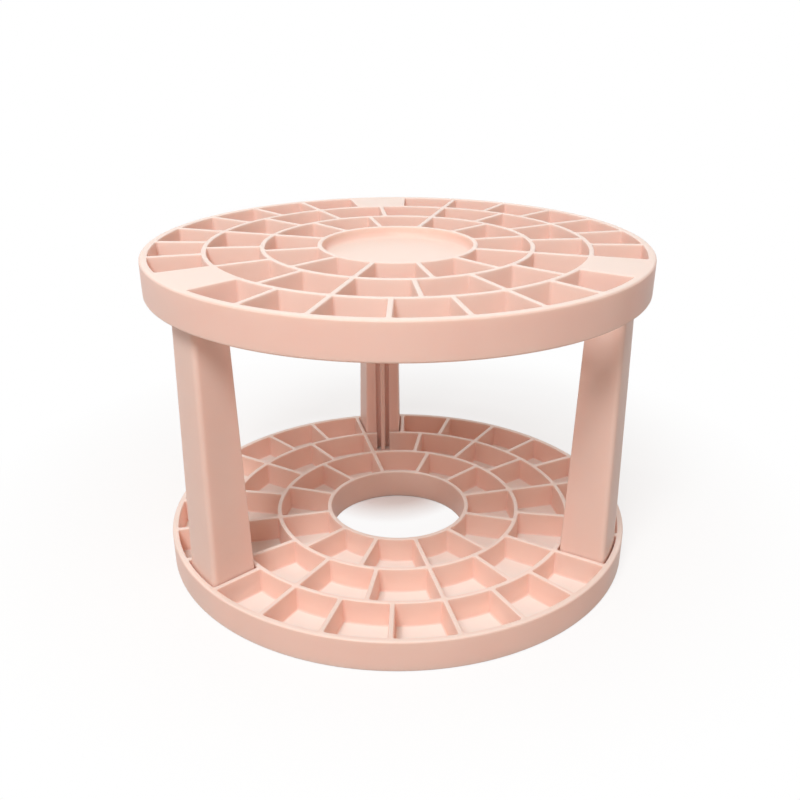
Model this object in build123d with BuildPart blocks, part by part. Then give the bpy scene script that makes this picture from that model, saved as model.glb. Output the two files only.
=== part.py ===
"""Makeup brush holder: two round cell trays held apart by three push-fit legs.

Millimetres, +Z up, origin at the middle of the bottom tray's underside, one leg at the back (+Y).
Each tray is cut from a round blank, so its rim, ring walls and dividers are what the cells leave.
"""

import os
from math import asin, cos, radians, tan

from build123d import *

# Whole holder
holder_height = 95.0
tray_radius = 72.0
wall = 1.4
fit_clearance = 0.3
cut_overrun = 1.0

# Rings of cells, from the rim inwards: how deep each ring's cells are, and how many it has
outer_cell_depth = 14.8
middle_cell_depth = 14.8
inner_cell_depth = 14.8
outer_cells = 24
middle_cells = 16
inner_cells = 12

# Top tray
top_tray_height = 10.0
top_rim = 2.2
top_rim_round = 0.6
pad = 2.0
dish_depth = 3.3
dish_plate = 1.6
dish_round = 2.0

# Bottom tray
bottom_tray_height = 9.5
bottom_rim = 1.8
bottom_rim_round = 0.5
floor = 2.0

# Legs: lean of the outer face, depth and side width lost towards the head, and the ribbed groove
leg_count = 3
first_leg_angle = 90.0
leg_lean = 2.2
leg_taper = 3.9
leg_narrowing = 1.2
leg_edge_round = 1.6
leg_wall = 1.8
rib = 1.6
groove = 1.6
groove_top_depth = 0.4

# Levels
top_base = holder_height - top_tray_height
pad_underside = holder_height - pad
dish_level = holder_height - dish_depth
leg_length = pad_underside - floor

# Plan angles, in degrees: the dividers of all three rings line up beside the first leg
outer_pitch = 360 / outer_cells
middle_pitch = 360 / middle_cells
inner_pitch = 360 / inner_cells
leg_pitch = 360 / leg_count
shared_divider = first_leg_angle + outer_pitch / 2
cells_per_leg = outer_cells // leg_count

# Plan radii: the round walls follow the rim and the cells' depths, and the legs follow their cell
leg_cell_inner = tray_radius - bottom_rim - outer_cell_depth
outer_wall_radius = leg_cell_inner - wall / 2
middle_wall_radius = outer_wall_radius - wall - middle_cell_depth
hub_wall_radius = middle_wall_radius - wall - inner_cell_depth
hub_inner = hub_wall_radius - wall / 2
leg_foot_outer = tray_radius - bottom_rim - fit_clearance
leg_top_outer = leg_foot_outer - leg_lean
leg_foot_inner = leg_cell_inner + fit_clearance
leg_foot_depth = leg_foot_outer - leg_foot_inner
leg_top_depth = leg_foot_depth - leg_taper
leg_top_inner = leg_top_outer - leg_top_depth
groove_floor = leg_top_inner + groove_top_depth
core_inner = groove_floor + leg_wall
rib_foot = outer_wall_radius - wall / 2 + fit_clearance
notch_width = rib + 2 * groove
side_gap = wall / 2 + fit_clearance


def leg_outer_at(level):
    """Radius of a leg's outer face at a level."""
    return leg_foot_outer - leg_lean * (level - floor) / leg_length


def leg_inner_at(level):
    """Distance of a leg's inner face from the holder's axis at a level."""
    return leg_foot_inner + (leg_top_inner - leg_foot_inner) * (level - floor) / leg_length


def leg_gap_at(level):
    """Distance of a leg's side from the middle of the divider beside it at a level."""
    return side_gap + leg_narrowing * (level - floor) / leg_length


def turned_by(angles):
    """Places turned about the holder's axis by the given angles."""
    return Locations(*[Location((0, 0, 0), (0, 0, angle)) for angle in angles])


def cell_plan(inner_radius, outer_radius, pitch):
    """One cell seen from above, along +X, between two round walls and two dividers of even thickness."""
    inner_half = pitch / 2 - asin(wall / 2 / inner_radius) / radians(1)
    outer_half = pitch / 2 - asin(wall / 2 / outer_radius) / radians(1)
    with BuildSketch(mode=Mode.PRIVATE) as cell:
        with BuildLine():
            inner_side = CenterArc((0, 0), inner_radius, -inner_half, 2 * inner_half)
            outer_side = CenterArc((0, 0), outer_radius, -outer_half, 2 * outer_half)
            Line(inner_side @ 0, outer_side @ 0)
            Line(inner_side @ 1, outer_side @ 1)
        make_face()
    return cell.sketch


def leg_plan(inner_face, outer_radius, side_gap):
    """A leg seen from above, along +X: flat inner face, round outer face, sides along the dividers."""
    half_cell = radians(outer_pitch / 2)
    inner_half = inner_face * tan(half_cell) - side_gap / cos(half_cell)
    outer_half = outer_pitch / 2 - asin(side_gap / outer_radius) / radians(1)
    with BuildSketch(mode=Mode.PRIVATE) as plan:
        with BuildLine():
            outer_side = CenterArc((0, 0), outer_radius, -outer_half, 2 * outer_half)
            Polyline(outer_side @ 1, (inner_face, inner_half), (inner_face, -inner_half), outer_side @ 0)
        make_face()
    return plan.sketch


def ring_angles(count, turn):
    """Middles of a ring's cells, counted on from the shared divider and turned with the tray."""
    return [shared_divider + turn + (index + 0.5) * 360 / count for index in range(count)]


leg_angles = [first_leg_angle + index * leg_pitch for index in range(leg_count)]
outer_angles = [first_leg_angle + index * outer_pitch for index in range(outer_cells)]
open_outer_angles = [angle for index, angle in enumerate(outer_angles) if index % cells_per_leg]
top_turn = -leg_pitch

os.makedirs("parts", exist_ok=True)

# Bottom tray: cells with floors, an open hub, and a notch in the outer round wall at each leg
with BuildPart() as bottom_tray:
    with BuildSketch():
        Circle(tray_radius)
    extrude(amount=bottom_tray_height)
    fillet(bottom_tray.edges().filter_by(GeomType.CIRCLE), bottom_rim_round)
    with BuildSketch(Plane.XY.offset(floor)):
        with turned_by(outer_angles):
            add(cell_plan(leg_cell_inner, tray_radius - bottom_rim, outer_pitch))
        with turned_by(ring_angles(middle_cells, 0)):
            add(cell_plan(middle_wall_radius + wall / 2, outer_wall_radius - wall / 2, middle_pitch))
        with turned_by(ring_angles(inner_cells, 0)):
            add(cell_plan(hub_wall_radius + wall / 2, middle_wall_radius - wall / 2, inner_pitch))
    extrude(amount=bottom_tray_height - floor + cut_overrun, mode=Mode.SUBTRACT)
    with BuildSketch():
        Circle(hub_inner)
    extrude(amount=bottom_tray_height, mode=Mode.SUBTRACT)
    with BuildSketch(Plane.XY.offset(floor)):
        with turned_by(leg_angles):
            with Locations((leg_foot_inner / 2, 0)):
                Rectangle(leg_foot_inner, notch_width)
        Circle(outer_wall_radius - wall / 2, mode=Mode.SUBTRACT)
    extrude(amount=bottom_tray_height - floor + cut_overrun, mode=Mode.SUBTRACT)
bottom_tray.part.label = "bottom_tray"
export_step(bottom_tray.part, "parts/bottom_tray.step")

# Top tray: cells open right through, a dish at the hub, and a pad over each leg's socket
with BuildPart() as top_tray:
    with BuildSketch(Plane.XY.offset(top_base)):
        Circle(tray_radius)
    extrude(amount=top_tray_height)
    fillet(top_tray.edges().filter_by(GeomType.CIRCLE), top_rim_round)
    with BuildSketch(Plane.XY.offset(dish_level)):
        Circle(hub_inner)
    extrude(amount=dish_depth, mode=Mode.SUBTRACT)
    fillet(top_tray.edges().filter_by_position(Axis.Z, dish_level, dish_level), dish_round)
    with BuildSketch(Plane.XY.offset(top_base)):
        Circle(hub_inner)
    extrude(amount=top_tray_height - dish_depth - dish_plate, mode=Mode.SUBTRACT)
    with BuildSketch(Plane.XY.offset(top_base - cut_overrun)):
        with turned_by(open_outer_angles):
            add(cell_plan(leg_cell_inner, tray_radius - top_rim, outer_pitch))
        with turned_by(ring_angles(middle_cells, top_turn)):
            add(cell_plan(middle_wall_radius + wall / 2, outer_wall_radius - wall / 2, middle_pitch))
        with turned_by(ring_angles(inner_cells, top_turn)):
            add(cell_plan(hub_wall_radius + wall / 2, middle_wall_radius - wall / 2, inner_pitch))
    extrude(amount=top_tray_height + 2 * cut_overrun, mode=Mode.SUBTRACT)
    socket_inner = leg_inner_at(top_base) - fit_clearance
    socket_outer = leg_outer_at(top_base) + fit_clearance
    with BuildSketch(Plane.XY.offset(top_base)):
        with turned_by(leg_angles):
            add(leg_plan(socket_inner, socket_outer, leg_gap_at(top_base) - fit_clearance))
    extrude(amount=top_tray_height - pad, mode=Mode.SUBTRACT)
top_tray.part.label = "top_tray"
export_step(top_tray.part, "parts/top_tray.step")

# Legs: hollow posts open at the foot, with a rib that runs down into the bottom tray's notch
for leg_name, leg_angle in zip(("back_leg", "left_leg", "right_leg"), leg_angles):
    foot_plane = Plane.XY.rotated((0, 0, leg_angle)).offset(floor)
    core_top = pad_underside - leg_wall
    with BuildPart() as leg:
        with BuildSketch(foot_plane):
            add(leg_plan(leg_foot_inner, leg_foot_outer, side_gap))
        with BuildSketch(foot_plane.offset(leg_length)):
            add(leg_plan(leg_top_inner, leg_top_outer, leg_gap_at(pad_underside)))
        loft()
        long_edges = leg.edges().filter_by(lambda edge: edge.length > leg_length / 2)
        outer_edges = long_edges.sort_by(lambda edge: edge.center().Y**2 + edge.center().X**2)[-2:]
        fillet(outer_edges, leg_edge_round)
        with BuildSketch(foot_plane):
            add(leg_plan(core_inner, leg_foot_outer - leg_wall, side_gap + leg_wall))
        with BuildSketch(foot_plane.offset(core_top - floor)):
            core_gap = leg_gap_at(core_top) + leg_wall
            add(leg_plan(core_inner, leg_outer_at(core_top) - leg_wall, core_gap))
        loft(mode=Mode.SUBTRACT)
        with BuildSketch(foot_plane):
            with Locations((groove_floor / 2, 0)):
                Rectangle(groove_floor, notch_width)
        extrude(amount=top_base - floor, mode=Mode.SUBTRACT)
        with BuildSketch(Plane(foot_plane.origin, x_dir=foot_plane.x_dir, z_dir=-foot_plane.y_dir)):
            with BuildLine():
                Polyline(
                    (groove_floor, 0),
                    (rib_foot, 0),
                    (leg_inner_at(top_base), top_base - floor),
                    (groove_floor, top_base - floor),
                    close=True,
                )
            make_face()
        extrude(amount=rib / 2, both=True)
    leg.part.label = leg_name
    export_step(leg.part, f"parts/{leg_name}.step")
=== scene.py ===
import cmath
import math

import bmesh
import bpy
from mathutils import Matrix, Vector


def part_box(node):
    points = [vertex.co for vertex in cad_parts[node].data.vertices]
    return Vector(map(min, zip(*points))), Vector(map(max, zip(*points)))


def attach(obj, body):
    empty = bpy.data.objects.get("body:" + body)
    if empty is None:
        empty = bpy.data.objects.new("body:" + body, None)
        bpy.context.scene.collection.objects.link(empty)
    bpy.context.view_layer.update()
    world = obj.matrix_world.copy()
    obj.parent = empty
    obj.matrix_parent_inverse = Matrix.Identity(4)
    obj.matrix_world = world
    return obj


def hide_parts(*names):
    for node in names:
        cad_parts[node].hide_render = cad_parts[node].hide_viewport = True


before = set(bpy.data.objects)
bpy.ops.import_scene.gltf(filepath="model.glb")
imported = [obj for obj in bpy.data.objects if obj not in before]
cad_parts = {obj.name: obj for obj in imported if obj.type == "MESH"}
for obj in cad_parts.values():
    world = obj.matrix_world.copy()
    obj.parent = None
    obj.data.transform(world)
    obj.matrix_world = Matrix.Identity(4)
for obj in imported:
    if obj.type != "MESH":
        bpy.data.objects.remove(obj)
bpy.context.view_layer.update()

# Bottom tray
# The lower of two round mouldings in pale pink polypropylene: a flat floor with three rings of cells
# standing on it round an open hub. Three cells of its outer ring take the legs' feet.
bottom_base, bottom_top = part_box("bottom_tray")[0].z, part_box("bottom_tray")[1].z
tray_radius = 0.072
wall = 0.0014
bottom_rim = 0.0018
bottom_rim_round = 0.0005
floor_thickness = 0.0020
notch_width = 0.0048
notch_lift = 0.00005
outer_cell_depth = 0.0148
middle_cell_depth = 0.0148
inner_cell_depth = 0.0148
outer_cells = 24
middle_cells = 16
inner_cells = 12
cell_corner = 0.0007
edge_round = 0.0003
floor_round = 0.0005
leg_angles = {"back_leg": math.radians(90), "left_leg": math.radians(210), "right_leg": math.radians(330)}
circle_steps = 192
cell_arc_step = math.radians(5)
rim_steps = 5
weld_distance = 1e-7
sharp_angle = math.radians(40)
flat_enough = 0.99
deep_pink, light_pink = (0.925, 0.635, 0.550, 1), (0.945, 0.665, 0.580, 1)
# Painted highlight: upward faces take a paler tint for the sheen that light from above lays on them.
painted_sheen_pink, painted_sheen_share = (0.955, 0.800, 0.725, 1), 0.7
# Painted light: the tray's floors take a paler tint for the bright light on them.
painted_floor_light_pink, painted_floor_light_share = (0.960, 0.878, 0.820, 1), 0.9

floor_level = bottom_base + floor_thickness
outer_ring_inner = tray_radius - bottom_rim - outer_cell_depth
middle_ring_outer = outer_ring_inner - wall
middle_ring_inner = middle_ring_outer - middle_cell_depth
inner_ring_outer = middle_ring_inner - wall
inner_ring_inner = inner_ring_outer - inner_cell_depth
hub_radius = inner_ring_inner - wall
leg_pitch = math.tau / outer_cells
shared_divider = leg_angles["back_leg"] + leg_pitch / 2


def bend(start, corner, end, steps=2):
    """Points that round a corner off between two places on its sides."""
    shares = [(i + 1) / (steps + 1) for i in range(steps)]
    return [(1 - s) ** 2 * start + 2 * s * (1 - s) * corner + s**2 * end for s in shares]


def both_halves(half, turn):
    """A whole outline from the half on the left of its middle line, turned into place."""
    mirrored = [point.conjugate() for point in reversed(half)]
    return [point * cmath.rect(1, turn) for point in half + mirrored]


def cell_outline(inner, outer, pitch, middle, let_out=0.0):
    """A cell seen from above, as complex numbers: two round walls and two dividers, all let out alike."""
    inner, outer = inner - let_out, outer + let_out
    half_wall, corner = wall / 2 - let_out, cell_corner + let_out
    along_divider = cmath.rect(corner, pitch / 2)
    steps = max(2, round(pitch / cell_arc_step))
    arcs, corners = [], []
    for radius in (inner, outer):
        end = pitch / 2 - math.asin(half_wall / radius)
        arc_end = end - corner / radius
        arcs.append([cmath.rect(radius, arc_end * (i + 0.5) / (steps - 0.5)) for i in range(steps)])
        corners.append(cmath.rect(radius, end))
    side = [corners[0] + along_divider, corners[1] - along_divider]
    half = arcs[0] + bend(arcs[0][-1], corners[0], side[0]) + side
    half += bend(side[1], corners[1], arcs[1][-1]) + arcs[1][::-1]
    return both_halves(half, middle)


def ring_of_cells(count, inner, outer, turn=0.0):
    """The cells of one ring, each as the values that draw its outline."""
    pitch = math.tau / count
    return [(inner, outer, pitch, shared_divider + turn + (index + 0.5) * pitch) for index in range(count)]


def circle(radius):
    """A circle seen from above."""
    return [cmath.rect(radius, math.tau * i / circle_steps) for i in range(circle_steps)]


def row(mould, outline, level):
    """A closed row of points at one level."""
    return [mould.verts.new((point.real, point.imag, level)) for point in outline]


def pairs(closed_row):
    """Each point of a closed row with the next one."""
    return zip(closed_row, closed_row[1:] + closed_row[:1])


def skin(mould, rows):
    """Faces from each row to the next."""
    faces = []
    for low, high in zip(rows, rows[1:]):
        for (a, b), (d, c) in zip(pairs(low), pairs(high)):
            faces.append(mould.faces.new((a, b, c, d)))
    return faces


def flat(mould, rows, up):
    """A flat face between its outermost row and the rows of the holes in it."""
    edges = [mould.edges.get(ends) or mould.edges.new(ends) for each in rows for ends in pairs(each)]
    bmesh.ops.triangle_fill(mould, use_beauty=True, edges=edges, normal=(0, 0, up))


def eased(radius, steps=3):
    """Steps over a rounded edge: how far in from its side, and how far in from its face."""
    quarter = [math.pi / 2 * i / steps for i in range(steps + 1)]
    return [(radius * (1 - math.sin(a)), radius * (1 - math.cos(a))) for a in quarter]


def rim_band(mould, base, top, rim_round):
    """The band round a tray's outside. Gives the rows that the underside and the top face start from."""
    edge = eased(rim_round, rim_steps)
    below = [row(mould, circle(tray_radius - side), base + face) for side, face in edge]
    above = [row(mould, circle(tray_radius - side), top - face) for side, face in edge]
    skin(mould, below + above[::-1])
    return below[0], above[0]


def block(mould, outline, low, high):
    """A closed block with one outline from a low level to a high one."""
    rows = [row(mould, outline, low), row(mould, outline, high)]
    skin(mould, rows)
    mould.faces.new(rows[0])
    mould.faces.new(rows[1])


def as_object(name, mould):
    """The mould's mesh as an object, with every face turned outwards."""
    bmesh.ops.remove_doubles(mould, verts=mould.verts, dist=weld_distance)
    bmesh.ops.dissolve_degenerate(mould, edges=mould.edges, dist=weld_distance)
    bmesh.ops.recalc_face_normals(mould, faces=mould.faces)
    mesh = bpy.data.meshes.new(name)
    mould.to_mesh(mesh)
    mould.free()
    piece = bpy.data.objects.new(name, mesh)
    bpy.context.scene.collection.objects.link(piece)
    return piece


def cut_away(mould, cutters):
    """The mould with the cutters' blocks cut out of it."""
    whole, blocks = as_object("whole", mould), as_object("blocks", cutters)
    cut = whole.modifiers.new("cut", "BOOLEAN")
    cut.solver = "EXACT"
    cut.object = blocks
    left = bmesh.new()
    left.from_object(whole, bpy.context.evaluated_depsgraph_get())
    for used in (whole, blocks):
        bpy.data.objects.remove(used)
    return left


def moulding(name, mould, node, body, plastics):
    """A finished moulding in place of its CAD node, with even shading over its rounded edges."""
    piece = as_object(name, mould)
    piece.data.shade_smooth()
    piece.data.set_sharp_from_angle(angle=sharp_angle)
    even = piece.modifiers.new("even shading", "WEIGHTED_NORMAL")
    even.keep_sharp = True
    for plastic in plastics:
        piece.data.materials.append(plastic)
    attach(piece, body)
    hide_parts(node)


def pink_plastic(name, deep_tint, light_tint, painted_light_tint, painted_light_share):
    """Satin pink plastic that lets a little light through, faintly clouded from a deep tint to a light one.

    Its upward faces take a share of a paler tint, painted light for the sheen and brightness that light
    from above lays on them, and it has a fine moulded grain.
    """
    plastic = bpy.data.materials.new(name)
    plastic.use_nodes = True
    nodes, links = plastic.node_tree.nodes, plastic.node_tree.links
    shader = nodes["Principled BSDF"]
    shader.inputs["Subsurface Weight"].default_value = 0.6
    shader.inputs["Subsurface Radius"].default_value = (1.0, 0.85, 0.78)
    shader.inputs["Subsurface Scale"].default_value = 0.003
    shader.inputs["IOR"].default_value = 1.49
    place = nodes.new("ShaderNodeTexCoord")

    clouds = nodes.new("ShaderNodeTexNoise")
    clouds.inputs["Scale"].default_value = 45
    clouds.inputs["Detail"].default_value = 3
    links.new(place.outputs["Object"], clouds.inputs["Vector"])
    tint = nodes.new("ShaderNodeValToRGB")
    tint.color_ramp.elements[0].position = 0.3
    tint.color_ramp.elements[0].color = deep_tint
    tint.color_ramp.elements[1].position = 0.7
    tint.color_ramp.elements[1].color = light_tint
    links.new(clouds.outputs["Fac"], tint.inputs["Fac"])

    facing = nodes.new("ShaderNodeNewGeometry")
    upward = nodes.new("ShaderNodeSeparateXYZ")
    links.new(facing.outputs["Normal"], upward.inputs["Vector"])
    # Painted light: the paler tint grows as a face turns upward.
    painted_light_mask = nodes.new("ShaderNodeMapRange")
    painted_light_mask.inputs["From Min"].default_value = 0.6
    painted_light_mask.inputs["From Max"].default_value = 1.0
    painted_light_mask.inputs["To Max"].default_value = painted_light_share
    links.new(upward.outputs["Z"], painted_light_mask.inputs["Value"])
    pale = nodes.new("ShaderNodeMix")
    pale.data_type = "RGBA"
    pale_in = {socket.identifier: socket for socket in pale.inputs}
    pale_out = {socket.identifier: socket for socket in pale.outputs}
    pale_in["B_Color"].default_value = painted_light_tint
    links.new(painted_light_mask.outputs["Result"], pale_in["Factor_Float"])
    links.new(tint.outputs["Color"], pale_in["A_Color"])
    links.new(pale_out["Result_Color"], shader.inputs["Base Color"])

    grain = nodes.new("ShaderNodeTexNoise")
    grain.inputs["Scale"].default_value = 2600
    grain.inputs["Detail"].default_value = 2
    links.new(place.outputs["Object"], grain.inputs["Vector"])
    satin = nodes.new("ShaderNodeMapRange")
    satin.inputs["To Min"].default_value = 0.38
    satin.inputs["To Max"].default_value = 0.52
    links.new(grain.outputs["Fac"], satin.inputs["Value"])
    links.new(satin.outputs["Result"], shader.inputs["Roughness"])
    bump = nodes.new("ShaderNodeBump")
    bump.inputs["Strength"].default_value = 0.12
    bump.inputs["Distance"].default_value = 0.00003
    links.new(grain.outputs["Fac"], bump.inputs["Height"])
    links.new(bump.outputs["Normal"], shader.inputs["Normal"])
    return plastic


bottom = bmesh.new()
underside, top_edge = rim_band(bottom, bottom_base, bottom_top, bottom_rim_round)
top_rows = [top_edge]
bottom_cells = (
    ring_of_cells(outer_cells, outer_ring_inner, tray_radius - bottom_rim)
    + ring_of_cells(middle_cells, middle_ring_inner, middle_ring_outer)
    + ring_of_cells(inner_cells, inner_ring_inner, inner_ring_outer)
)
floor_edge = eased(floor_round)
for cell in bottom_cells:
    rows = [row(bottom, cell_outline(*cell, side), bottom_top - face) for side, face in eased(edge_round)]
    rows += [row(bottom, cell_outline(*cell, -face), floor_level + side) for side, face in floor_edge]
    skin(bottom, rows)
    bottom.faces.new(rows[-1])
    top_rows.append(rows[0])
hub_above = [row(bottom, circle(hub_radius + side), bottom_top - face) for side, face in eased(edge_round)]
hub_below = [row(bottom, circle(hub_radius + side), bottom_base + face) for side, face in eased(edge_round)]
skin(bottom, hub_above + hub_below[::-1])
flat(bottom, top_rows + hub_above[:1], 1)
flat(bottom, [underside, hub_below[0]], -1)

notch_start = middle_ring_outer - floor_round
notch_end = outer_ring_inner + floor_round
notches = bmesh.new()
for angle in leg_angles.values():
    half = [notch_start + 1j * notch_width / 2, notch_end + 1j * notch_width / 2]
    block(notches, both_halves(half, angle), floor_level + notch_lift, bottom_top + wall)
bottom = cut_away(bottom, notches)

# The floors are thin and lie on a white table, so they are lit brighter; that light is painted in as the
# second, paler plastic.
for face in bottom.faces:
    if face.normal.z > flat_enough and face.calc_center_median().z < floor_level + notch_lift / 2:
        face.material_index = 1
tray_plastic = pink_plastic("pink_plastic", deep_pink, light_pink, painted_sheen_pink, painted_sheen_share)
floor_plastic_painted_light = pink_plastic("pink_plastic_floor_painted_light", deep_pink, light_pink, painted_floor_light_pink, painted_floor_light_share)
moulding("brush_tray_bottom", bottom, "bottom_tray", "base", [tray_plastic, floor_plastic_painted_light])

# Legs
# Three equal hollow posts in the same plastic, each shaped like the outer cell that it stands in. A rib
# runs down a groove in the inner face and into the notch in the tray's round wall. They push in by hand.
top_base, top_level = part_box("top_tray")[0].z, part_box("top_tray")[1].z
pad_thickness = 0.0020
fit_clearance = 0.0003
leg_lean = 0.0022
leg_taper = 0.0039
leg_narrowing = 0.0012
leg_edge_round = 0.0016
leg_edge_steps = 5
leg_wall = 0.0018
rib = 0.0016
groove_depth_at_top = 0.0004

leg_top = top_level - pad_thickness
core_top = leg_top - leg_wall
foot_outer = tray_radius - bottom_rim - fit_clearance
foot_inner = outer_ring_inner + fit_clearance
head_outer = foot_outer - leg_lean
head_inner = foot_inner - leg_lean + leg_taper
groove_floor = head_inner + groove_depth_at_top
rib_foot = middle_ring_outer + fit_clearance
foot_gap = wall / 2 + fit_clearance


def leg_faces(level):
    """How far a leg's inner and outer faces are from the axis, and its sides from the dividers' middles."""
    share = (level - floor_level) / (leg_top - floor_level)
    inner = foot_inner + share * (head_inner - foot_inner)
    outer = foot_outer + share * (head_outer - foot_outer)
    return inner, outer, foot_gap + share * leg_narrowing


def leg_sides(inner, outer, side_gap, inner_round, outer_round, arc_steps=6):
    """Half of a leg seen from above, from its flat inner face round to the middle of its outer face."""
    half_cell = leg_pitch / 2
    inner_corner = complex(inner, inner * math.tan(half_cell) - side_gap / math.cos(half_cell))
    outer_end = half_cell - math.asin(side_gap / outer)
    outer_corner = cmath.rect(outer, outer_end)
    arc_start = outer_end - outer_round / outer
    outer_arc = [cmath.rect(outer, arc_start * (1 - i / (arc_steps - 0.5))) for i in range(arc_steps)]
    side_start = inner_corner + cmath.rect(inner_round, half_cell)
    side_end = outer_corner - cmath.rect(outer_round, half_cell)
    face_end = inner_corner - 1j * inner_round
    half = [face_end] + bend(face_end, inner_corner, side_start) + [side_start, side_end]
    return half + bend(side_end, outer_corner, outer_arc[0], leg_edge_steps) + outer_arc


def leg_outline(level, angle, grooved):
    """A leg seen from above at a level, with or without the ribbed groove in its inner face."""
    inner, outer, gap = leg_faces(level)
    share = (level - floor_level) / (top_base - floor_level)
    rib_face = rib_foot + share * (leg_faces(top_base)[0] - rib_foot)
    rib_corner, edge_corner = complex(rib_face, rib / 2), complex(inner, notch_width / 2)
    rib_ends = [rib_corner - 1j * edge_round, rib_corner + edge_round]
    edge_ends = [edge_corner + edge_round, edge_corner + 1j * edge_round]
    half = rib_ends[:1] + bend(rib_ends[0], rib_corner, rib_ends[1]) + rib_ends[1:]
    half += [complex(groove_floor, rib / 2), complex(groove_floor, notch_width / 2)]
    half += edge_ends[:1] + bend(edge_ends[0], edge_corner, edge_ends[1]) + edge_ends[1:]
    if not grooved:
        half = [complex(inner, point.imag) for point in half]
    return both_halves(half + leg_sides(inner, outer, gap, edge_round, leg_edge_round), angle)


for leg_name, angle in leg_angles.items():
    leg = bmesh.new()
    foot = row(leg, leg_outline(floor_level, angle, True), floor_level)
    rows = [foot, row(leg, leg_outline(top_base, angle, True), top_base)]
    rows += [row(leg, leg_outline(level, angle, False), level) for level in (top_base, leg_top)]
    skin(leg, rows)
    leg.faces.new(rows[-1])
    core_rows = []
    for level in (floor_level, core_top):
        _, outer, gap = leg_faces(level)
        half = leg_sides(groove_floor + leg_wall, outer - leg_wall, gap + leg_wall, edge_round, edge_round)
        core_rows.append(row(leg, both_halves(half, angle), level))
    skin(leg, core_rows)
    leg.faces.new(core_rows[-1])
    flat(leg, [foot, core_rows[0]], -1)
    moulding(f"push_fit_{leg_name}", leg, leg_name, "legs", [tray_plastic])

# Top tray
# The upper round moulding in the same plastic. Its cells are open right through, so handles drop into the
# tray below. A pad over each leg hides the socket for the leg's head, and a shallow dish fills the hub.
top_rim = 0.0022
top_rim_round = 0.0006
dish_depth = 0.0033
dish_plate = 0.0016
dish_round = 0.0020
dish_steps = 6
# Painted light: the open cells' walls are paler for the light they take from both sides.
painted_wall_light_deep, painted_wall_light_pale = (0.950, 0.682, 0.608, 1), (0.970, 0.712, 0.638, 1)

dish_level = top_level - dish_depth
dish_underside = dish_level - dish_plate
neck_inner, neck_outer, neck_gap = leg_faces(top_base)
socket_inner, socket_outer = neck_inner - fit_clearance, neck_outer + fit_clearance
socket_gap = neck_gap - fit_clearance
top_turn = -math.tau / len(leg_angles)

top = bmesh.new()
underside, top_edge = rim_band(top, top_base, top_level, top_rim_round)
top_rows, base_rows = [top_edge], [underside]
open_cells = [
    (outer_ring_inner, tray_radius - top_rim, leg_pitch, leg_angles["back_leg"] + index * leg_pitch)
    for index in range(outer_cells)
    if index % (outer_cells // len(leg_angles))
]
open_cells += ring_of_cells(middle_cells, middle_ring_inner, middle_ring_outer, top_turn)
open_cells += ring_of_cells(inner_cells, inner_ring_inner, inner_ring_outer, top_turn)

# The thin walls of the open cells are lit from both sides; that light is painted in as the second, paler
# plastic.
for cell in open_cells:
    above = [row(top, cell_outline(*cell, side), top_level - face) for side, face in eased(edge_round)]
    below = [row(top, cell_outline(*cell, side), top_base + face) for side, face in eased(edge_round)]
    for cell_face in skin(top, above + below[::-1]):
        cell_face.material_index = 1
    top_rows.append(above[0])
    base_rows.append(below[0])
dish = [row(top, circle(hub_radius + side), top_level - face) for side, face in eased(edge_round)]
dish_corner = eased(dish_round, dish_steps)
dish += [row(top, circle(hub_radius - face), dish_level + side) for side, face in dish_corner]
skin(top, dish)
top.faces.new(dish[-1])
top_rows.append(dish[0])
hollow = [row(top, circle(hub_radius + side), top_base + face) for side, face in eased(edge_round)]
hollow += [row(top, circle(hub_radius - face), dish_underside - side) for side, face in eased(edge_round)]
skin(top, hollow)
top.faces.new(hollow[-1])
base_rows.append(hollow[0])
for angle in leg_angles.values():
    socket_half = leg_sides(socket_inner, socket_outer, socket_gap, edge_round, edge_round)
    socket = both_halves(socket_half, angle)
    rows = [row(top, socket, top_base), row(top, socket, leg_top)]
    skin(top, rows)
    top.faces.new(rows[-1])
    base_rows.append(rows[0])
flat(top, top_rows, 1)
flat(top, base_rows, -1)
wall_plastic_painted_light = pink_plastic("pink_plastic_wall_painted_light", painted_wall_light_deep, painted_wall_light_pale, painted_sheen_pink, painted_sheen_share)
moulding("brush_tray_top", top, "top_tray", "top", [tray_plastic, wall_plastic_painted_light])

# Studio
# A pale table that stays white away from the holder and keeps its soft shadow. A key lamp stands at the
# front left and a weak wide lamp at the back, in a white room that lights the shade slightly warm.
table_half = 1.2
table_gap = 0.0001
white_reach = 0.15
shade_middle_share = 1.4
shade_end_share = 0.65
hub_front_share = 1.25
white = (1, 1, 1, 1)
# Painted light: the strong glow at the hub's front is a pool of light.
shade_grey, hub_front_painted_light, rim_grey = (0.1, 0.1, 0.1, 1), (0.9, 0.9, 0.9, 1), (0.7, 0.7, 0.7, 1)
table_seen, table_bounce = (0.95, 0.95, 0.95, 1), (0.47, 0.41, 0.375, 1)
room_fill = (0.40, 0.345, 0.310, 1)

table_level = bottom_base - table_gap
shade_middle = (0, hub_radius * shade_middle_share, table_level)
shade_end = hub_radius * shade_end_share
hub_front = hub_radius * hub_front_share
table_corners = [cmath.rect(table_half * math.sqrt(2), math.radians(45 + 90 * i)) for i in range(4)]
table_mesh = bpy.data.meshes.new("table")
table_mesh.from_pydata([(c.real, c.imag, table_level) for c in table_corners], [], [(0, 1, 2, 3)])
table = bpy.data.objects.new("table", table_mesh)
bpy.context.scene.collection.objects.link(table)


def seen_directly(tree):
    """1 for light that goes straight to the eye or by way of a gloss or a clear piece, else 0."""
    path = tree.nodes.new("ShaderNodeLightPath")
    seen = path.outputs["Is Camera Ray"]
    for way in ("Is Glossy Ray", "Is Transmission Ray"):
        either = tree.nodes.new("ShaderNodeMath")
        either.operation = "MAXIMUM"
        tree.links.new(seen, either.inputs[0])
        tree.links.new(path.outputs[way], either.inputs[1])
        seen = either.outputs["Value"]
    return seen
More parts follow.
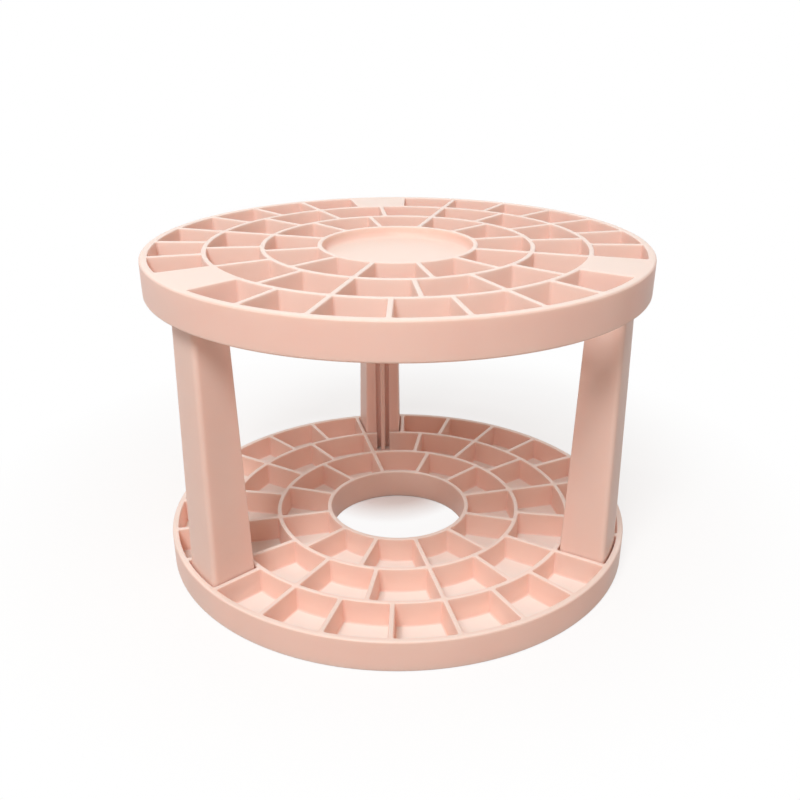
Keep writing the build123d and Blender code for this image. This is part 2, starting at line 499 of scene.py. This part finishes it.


# The table's white glow is weak in the shade at the back of the hub, and not quite full under the rim. At
# the hub's front it is a painted pool of light.
table_paint = bpy.data.materials.new("white_table")
table_paint.use_nodes = True
tree = table_paint.node_tree
tree.nodes.clear()
place = tree.nodes.new("ShaderNodeTexCoord")
distance = tree.nodes.new("ShaderNodeVectorMath")
distance.operation = "DISTANCE"
distance.inputs[1].default_value = shade_middle
tree.links.new(place.outputs["Object"], distance.inputs[0])
reach = tree.nodes.new("ShaderNodeMapRange")
reach.inputs["From Max"].default_value = white_reach
tree.links.new(distance.outputs["Value"], reach.inputs["Value"])
fade = tree.nodes.new("ShaderNodeValToRGB")
fade.color_ramp.elements[0].position = shade_end / white_reach
fade.color_ramp.elements[0].color = shade_grey
fade.color_ramp.elements[1].position = 1
fade.color_ramp.elements[1].color = white
for where, grey in ((tray_radius, rim_grey), (hub_front, hub_front_painted_light)):
    fade.color_ramp.elements.new(where / white_reach).color = grey
tree.links.new(reach.outputs["Result"], fade.inputs["Fac"])
white_share = tree.nodes.new("ShaderNodeMath")
white_share.operation = "MULTIPLY"
seen = seen_directly(tree)
tree.links.new(fade.outputs["Color"], white_share.inputs[0])
tree.links.new(seen, white_share.inputs[1])
paint = tree.nodes.new("ShaderNodeBsdfDiffuse")
tone = tree.nodes.new("ShaderNodeValToRGB")
tone.color_ramp.elements[0].color = table_bounce
tone.color_ramp.elements[1].color = table_seen
tree.links.new(seen, tone.inputs["Fac"])
tree.links.new(tone.outputs["Color"], paint.inputs["Color"])
glow = tree.nodes.new("ShaderNodeEmission")
mixed = tree.nodes.new("ShaderNodeMixShader")
tree.links.new(white_share.outputs["Value"], mixed.inputs["Fac"])
tree.links.new(paint.outputs["BSDF"], mixed.inputs[1])
tree.links.new(glow.outputs["Emission"], mixed.inputs[2])
surface = tree.nodes.new("ShaderNodeOutputMaterial")
tree.links.new(mixed.outputs["Shader"], surface.inputs["Surface"])
table_mesh.materials.append(table_paint)

room = bpy.data.worlds.new("white_room")
room.use_nodes = True
bpy.context.scene.world = room
room_tree = room.node_tree
room_colour = room_tree.nodes.new("ShaderNodeValToRGB")
room_colour.color_ramp.elements[0].color = room_fill
room_colour.color_ramp.elements[1].color = white
room_tree.links.new(seen_directly(room_tree), room_colour.inputs["Fac"])
room_tree.links.new(room_colour.outputs["Color"], room_tree.nodes["Background"].inputs["Color"])


def lamp(name, place, side, power):
    """A square soft lamp at a place, turned towards the middle of the holder."""
    light = bpy.data.lights.new(name, "AREA")
    light.size = side
    light.energy = power
    holder_middle = Vector((0, 0, (bottom_base + top_level) / 2))
    lamp_object = bpy.data.objects.new(name, light)
    lamp_object.location = place
    lamp_object.rotation_euler = (holder_middle - Vector(place)).to_track_quat("-Z", "Y").to_euler()
    bpy.context.scene.collection.objects.link(lamp_object)


lamp("key", place=(-0.24, -0.54, 0.76), side=0.28, power=5.75)
lamp("back", place=(0.05, 0.75, 0.55), side=0.70, power=0.9)

# Camera
# The photograph's own viewpoint: a little left of the line through the back leg, looking down at about 25
# degrees, with the holder framed a little above the middle.
camera_place = (-0.02610, -0.25202, 0.15349)
looking_down = math.radians(25.27)
heading = math.radians(-6.065)
camera = bpy.data.cameras.new("camera")
camera.sensor_width = 36
camera.lens = 39.84
camera.shift_y = 0.0441
camera.clip_start = 0.01
camera_object = bpy.data.objects.new("camera", camera)
camera_object.location = camera_place
camera_object.rotation_euler = (math.radians(90) - looking_down, 0, heading)
bpy.context.scene.collection.objects.link(camera_object)
bpy.context.scene.camera = camera_object
bpy.context.scene.view_settings.view_transform = "Standard"
